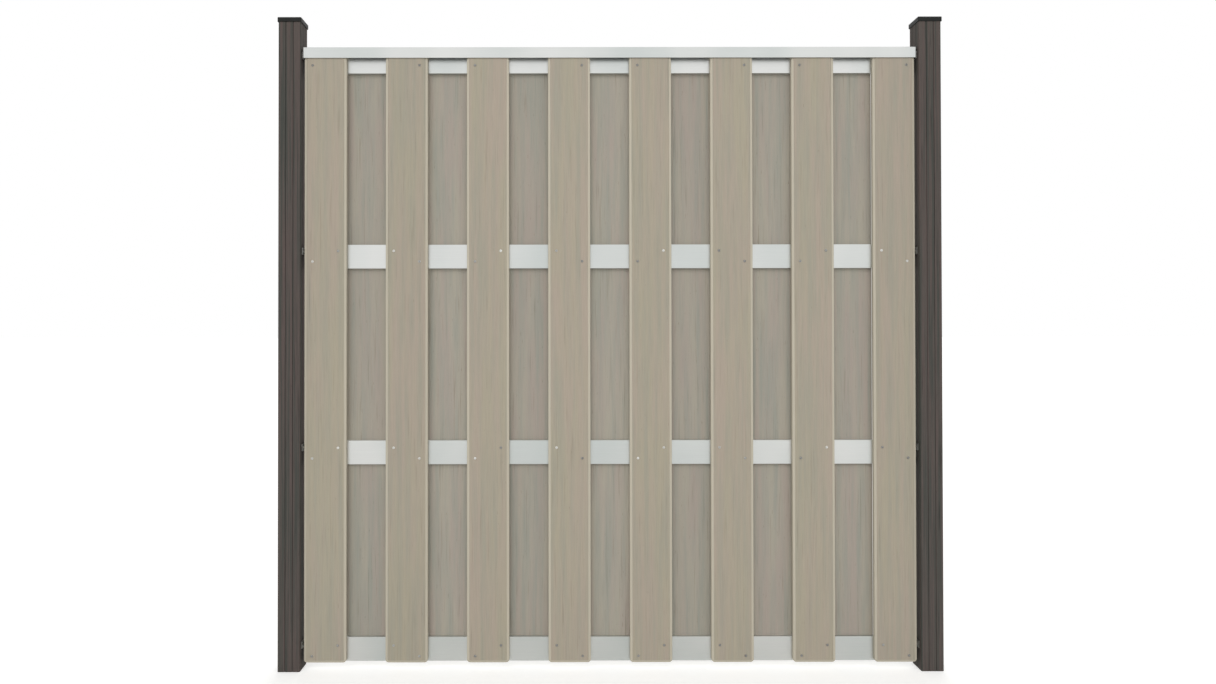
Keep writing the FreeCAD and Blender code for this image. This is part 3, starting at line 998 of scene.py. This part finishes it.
def squareRing(bm, half, radius, rise, middle, steps):
    verts = []
    for quarter in range(4):
        turn = math.pi / 2 * quarter
        for step in range(steps + 1):
            angle = turn + math.pi / 2 * step / steps
            centreX = (half - radius) * (1 if quarter in (0, 3) else -1)
            centreY = (half - radius) * (1 if quarter in (0, 1) else -1)
            verts.append(bm.verts.new((middle + centreX + radius * math.cos(angle),
                                       centreY + radius * math.sin(angle), rise)))
    return verts


# square rings from the roof of the skirt, round its foot and the rim, to the peak
def capMesh(shape, low, high):
    half = (high.x - low.x) / 2
    seat = low.z + shape["skirtDepth"]
    shoulder = seat + shape["rimHeight"]
    skirt = shape["skirtSize"] / 2
    bore = skirt - shape["skirtWall"]
    corners = [(bore, seat), (bore, low.z), (skirt, low.z), (skirt, seat), (half, seat),
               (half, shoulder), (0.0, high.z)]
    fine = shape["skirtRounding"]
    radii = [0, fine, fine, fine, shape["lowerRounding"], shape["edgeRounding"], 0]
    profile = softLine(corners, radii, shape["roundSteps"])[:-1]
    bm = bmesh.new()
    middle = (low.x + high.x) / 2
    rings = []
    for reach, rise in profile:
        onRim = reach > skirt + shape["skirtRadius"]
        radius = shape["cornerRadius"] - (half - reach) if onRim else shape["skirtRadius"]
        radius = max(radius, shape["skirtRounding"])
        rings.append(squareRing(bm, reach, radius, rise, middle, shape["cornerSteps"]))
    joinRings(bm, rings)
    bm.faces.new(rings[0])
    peak = bm.verts.new((middle, 0.0, high.z))
    for index in range(len(rings[-1])):
        bm.faces.new((rings[-1][index], rings[-1][(index + 1) % len(rings[-1])], peak))
    # the rounded top edge of the rim is marked for the painted highlight
    rimGlintMark = bm.verts.layers.float.new("border")
    for vert in bm.verts:
        onEdge = abs(vert.co.z - shoulder) < shape["edgeRounding"]
        vert[rimGlintMark] = 1.0 if onEdge else 0.0
    return finishMesh(bm, "cap")


for side in sides:
    low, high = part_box("post_cap_" + side)
    cap = bpy.data.objects.new("post_cap_%s_dressed" % side, capMesh(capShape, low, high))
    bpy.context.scene.collection.objects.link(cap)
    cap.data.materials.append(darkPlastic)
    keepFlats(cap)
    settle(cap)
    fit(cap, "post_cap_" + side)
print("posts and caps made")


# height is above the horizon and aside is to the right of the camera, both in degrees
stageLook = {
    "floorColour": shade(232, 232, 230),
    "floorGlow": 0.36,
    "floorMirrored": 0.3,       # share of the floor's glow that the metal shows
    "floorSize": 200.0,
    "skyColour": (1.0, 1.0, 1.0, 1.0),
    "skyStrength": 0.56,
    "sources": {
        "key": {"strength": 1.1, "height": 36.0, "aside": -12.0, "spread": 40.0},
        "fill": {"strength": 0.46, "height": 10.0, "aside": 10.0, "spread": 50.0},
        "behind": {"strength": 0.95, "height": 35.0, "aside": 170.0, "spread": 50.0},
    },
}


def backgroundRays(tree, mirrored=1.0):
    rays = addNode(tree, "ShaderNodeLightPath").outputs
    inGloss = calc(tree, "MULTIPLY", rays["Is Glossy Ray"], mirrored)
    seen = calc(tree, "MAXIMUM", rays["Is Camera Ray"], inGloss)
    return calc(tree, "MAXIMUM", seen, rays["Is Transmission Ray"])


def floorMaterial(look):
    material = bpy.data.materials.new("paleFloor")
    tree = emptyTree(material)
    matt = addNode(tree, "ShaderNodeBsdfDiffuse", {"Color": look["floorColour"]}).outputs[0]
    rays = backgroundRays(tree, look["floorMirrored"])
    strength = calc(tree, "MULTIPLY", rays, look["floorGlow"])
    glow = addNode(tree, "ShaderNodeEmission", {"Strength": strength}).outputs[0]
    both = addNode(tree, "ShaderNodeAddShader", {0: matt, 1: glow}).outputs[0]
    addNode(tree, "ShaderNodeOutputMaterial", {"Surface": both})
    return material


def makeWorld(look):
    world = bpy.data.worlds.new("studio")
    tree = emptyTree(world)
    strength = between(tree, backgroundRays(tree), 0.0, 1.0, look["skyStrength"], 1.0)
    sky = addNode(tree, "ShaderNodeBackground", {"Color": look["skyColour"], "Strength": strength})
    addNode(tree, "ShaderNodeOutputWorld", {"Surface": sky.outputs[0]})
    bpy.context.scene.world = world


# a broad soft source that lights the whole screen evenly
# the metal mirrors the pale room, not the source
def softSource(name, look):
    lamp = bpy.data.lights.new(name, "SUN")
    lamp.energy = look["strength"]
    lamp.angle = math.radians(look["spread"])
    source = bpy.data.objects.new(name, lamp)
    bpy.context.scene.collection.objects.link(source)
    source.rotation_euler = (math.radians(90 - look["height"]), 0.0, math.radians(look["aside"]))
    source.visible_glossy = False


floorMesh = bpy.data.meshes.new("floor")
reach = stageLook["floorSize"] / 2
floorCorners = [(-reach, -reach, 0), (reach, -reach, 0), (reach, reach, 0), (-reach, reach, 0)]
floorMesh.from_pydata(floorCorners, [], [(0, 1, 2, 3)])
floorMesh.materials.append(floorMaterial(stageLook))
floor = bpy.data.objects.new("floor", floorMesh)
bpy.context.scene.collection.objects.link(floor)
makeWorld(stageLook)
for name, look in stageLook["sources"].items():
    softSource(name, look)

cameraView = {
    "place": (-0.1343, -2.469, 0.9934),
    "pitch": 0.0086,
    "roll": 0.0012,
    "yaw": -0.0006,
    "focalPixels": 836.4,
    "axisX": 564.6,          # pixel of the photo where the lens axis meets it
    "axisY": 322.4,
    "photoWidth": 1216,
    "photoHeight": 684,
    "sensorWidth": 36.0,
}
photoWidth = cameraView["photoWidth"]
cameraData = bpy.data.cameras.new("camera")
cameraData.sensor_width = cameraView["sensorWidth"]
cameraData.lens = cameraData.sensor_width * cameraView["focalPixels"] / photoWidth
cameraData.shift_x = (photoWidth / 2 - cameraView["axisX"]) / photoWidth
cameraData.shift_y = (cameraView["axisY"] - cameraView["photoHeight"] / 2) / photoWidth
camera = bpy.data.objects.new("camera", cameraData)
camera.location = cameraView["place"]
camera.rotation_euler = (
    math.pi / 2 + cameraView["pitch"], cameraView["roll"], cameraView["yaw"])
bpy.context.scene.collection.objects.link(camera)
bpy.context.scene.camera = camera
bpy.context.scene.view_settings.view_transform = "Standard"
print("stage, light and camera made")
